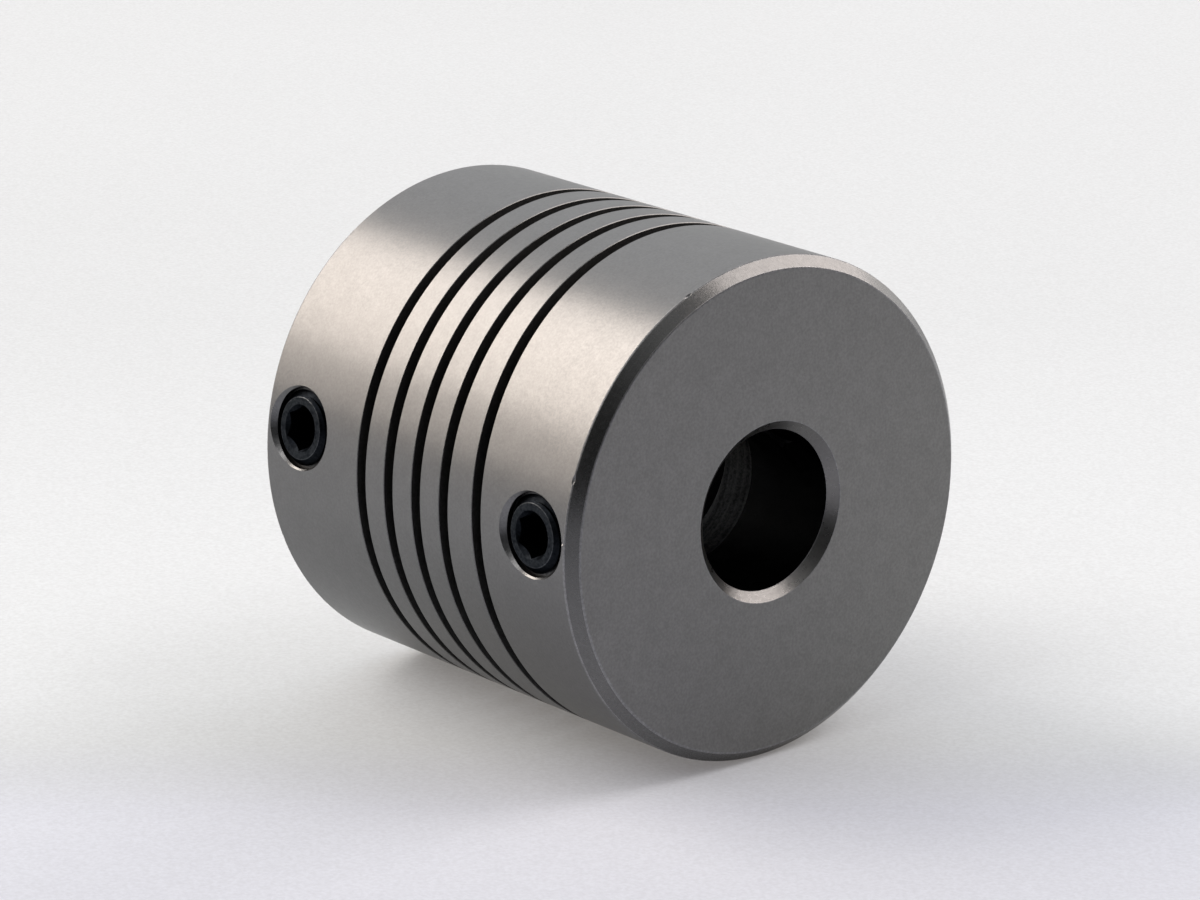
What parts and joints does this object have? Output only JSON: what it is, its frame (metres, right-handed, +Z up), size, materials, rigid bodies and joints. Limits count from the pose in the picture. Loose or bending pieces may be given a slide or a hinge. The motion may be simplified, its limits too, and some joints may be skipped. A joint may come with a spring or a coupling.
{
  "type": "helical beam coupling",
  "caption": "One-piece shaft coupling: a turned steel cylinder with a helical flexure slot between two bored hubs, held on its shafts by hexagon socket set screws.",
  "frame": {"origin": "centre of the coupling, on the shaft axis, halfway between the two end faces", "axes": "+X along the shaft axis, out of the front hub; +Z up as the coupling lies in the picture; the side screws face -Y"},
  "size_m": [0.024, 0.025, 0.025],
  "materials": {
    "body": "satin turned dark steel",
    "screw": "black oxide"
  },
  "bodies": {
    "root": {"body": "body", "front_side_screw": "screw", "front_top_screw": "screw", "rear_side_screw": "screw", "rear_top_screw": "screw"}
  },
  "joints": []
}
